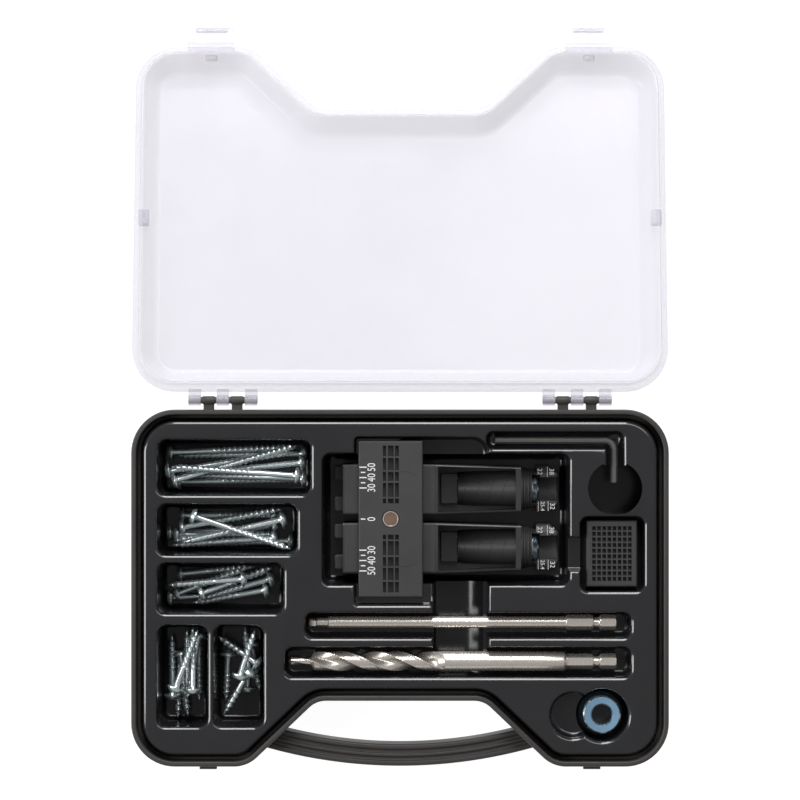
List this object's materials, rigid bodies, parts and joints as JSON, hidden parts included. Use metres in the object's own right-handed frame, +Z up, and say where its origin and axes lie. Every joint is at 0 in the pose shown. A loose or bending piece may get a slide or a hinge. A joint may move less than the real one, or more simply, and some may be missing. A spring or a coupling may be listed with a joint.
{
  "type": "pocket-hole jig kit",
  "caption": "Pocket-hole jointing kit: twin drill guide on a spacing plate, drill, driver bit, collar, key, pad and screws in a hinged carry case.",
  "frame": {"origin": "centre of the case base's underside, which rests on the bench", "axes": "+X along the case's width to the right, +Y towards the lid's hinge and on over the open lid, +Z up out of the tray"},
  "size_m": [0.259, 0.3612, 0.0446],
  "materials": {
    "case_black": "matt black moulded plastic with a fine texture",
    "tray_black": "glossy black formed sheet",
    "lid_clear": "clear plastic with a fine frost",
    "guide_grey": "dark grey glass-filled plastic",
    "guide_black": "black satin plastic",
    "steel": "ground and nickelled steel",
    "magnet": "plated magnet with a bright edge",
    "blue_steel": "blue anodised collar with bright edges",
    "key_black": "blackened steel",
    "rubber": "dark grey rubber",
    "zinc": "bright zinc with a faint blue-green cast"
  },
  "bodies": {
    "case": {"case_base": "case_black", "carry_handle": "case_black", "insert_tray": "tray_black", "screw_25_1": "zinc", "screw_25_2": "zinc", "screw_25_3": "zinc", "screw_25_4": "zinc", "screw_25_5": "zinc", "screw_25_6": "zinc", "screw_25_7": "zinc", "screw_32_1": "zinc", "screw_32_2": "zinc", "screw_32_3": "zinc", "screw_32_4": "zinc", "screw_32_5": "zinc", "screw_32_6": "zinc", "screw_32_7": "zinc", "screw_32_8": "zinc", "screw_38_1": "zinc", "screw_38_2": "zinc", "screw_38_3": "zinc", "screw_38_4": "zinc", "screw_38_5": "zinc", "screw_38_6": "zinc", "screw_38_7": "zinc", "screw_51_1": "zinc", "screw_51_2": "zinc", "screw_51_3": "zinc", "screw_51_4": "zinc", "screw_51_5": "zinc", "screw_51_6": "zinc", "screw_51_7": "zinc", "screw_51_8": "zinc", "screw_51_9": "zinc", "screw_63_1": "zinc", "screw_63_2": "zinc", "screw_63_3": "zinc", "screw_63_4": "zinc", "screw_63_5": "zinc", "screw_63_6": "zinc", "screw_63_7": "zinc", "screw_63_8": "zinc"},
    "lid": {"case_lid": "lid_clear"},
    "latch_left": {"lid_latch_left": "lid_clear"},
    "latch_right": {"lid_latch_right": "lid_clear"},
    "plate": {"spacer_plate": "guide_grey", "plate_magnet": "magnet"},
    "guide_1": {"guide_body_1": "guide_black", "drill_bush_1": "steel"},
    "guide_2": {"guide_body_2": "guide_black", "drill_bush_2": "steel"},
    "stop_1": {"edge_stop_1": "guide_grey"},
    "stop_2": {"edge_stop_2": "guide_grey"},
    "drill": {"drill_bit": "steel"},
    "driver": {"driver_bit": "steel"},
    "key": {"hex_key": "key_black"},
    "collar": {"stop_collar": "blue_steel", "collar_screw": "steel"},
    "pad": {"clamp_pad": "rubber"}
  },
  "joints": [
    {"name": "lid_hinge", "type": "hinge", "parent": "case", "child": "lid", "pos_m": [0, 0.0905, 0.042], "axis": [-1, 0, 0], "range_deg": [-190.47, 0]},
    {"name": "latch_left_fold", "type": "hinge", "parent": "lid", "child": "latch_left", "pos_m": [-0.0925, 0.26582, 0.00898], "axis": [-1, 0, 0], "range_deg": [-90, 0]},
    {"name": "latch_right_fold", "type": "hinge", "parent": "lid", "child": "latch_right", "pos_m": [0.0925, 0.26582, 0.00898], "axis": [-1, 0, 0], "range_deg": [-90, 0]},
    {"name": "guide_lift", "type": "slide", "parent": "case", "child": "plate", "axis": [0, 0, 1], "range_m": [0, 0.06]},
    {"name": "guide_1_spacing", "type": "slide", "parent": "plate", "child": "guide_1", "axis": [0, 1, 0], "range_m": [0, 0.004]},
    {"name": "guide_2_spacing", "type": "slide", "parent": "plate", "child": "guide_2", "axis": [0, -1, 0], "range_m": [0, 0.004]},
    {"name": "stop_1_slide", "type": "slide", "parent": "guide_1", "child": "stop_1", "axis": [1, 0, 0], "range_m": [0, 0.004]},
    {"name": "stop_2_slide", "type": "slide", "parent": "guide_2", "child": "stop_2", "axis": [1, 0, 0], "range_m": [0, 0.004]},
    {"name": "drill_lift", "type": "slide", "parent": "case", "child": "drill", "axis": [0, 0, 1], "range_m": [0, 0.06]},
    {"name": "driver_lift", "type": "slide", "parent": "case", "child": "driver", "axis": [0, 0, 1], "range_m": [0, 0.06]},
    {"name": "key_lift", "type": "slide", "parent": "case", "child": "key", "axis": [0, 0, 1], "range_m": [0, 0.04]},
    {"name": "collar_lift", "type": "slide", "parent": "case", "child": "collar", "axis": [0, 0, 1], "range_m": [0, 0.05]},
    {"name": "pad_lift", "type": "slide", "parent": "case", "child": "pad", "axis": [0, 0, 1], "range_m": [0, 0.05]}
  ]
}
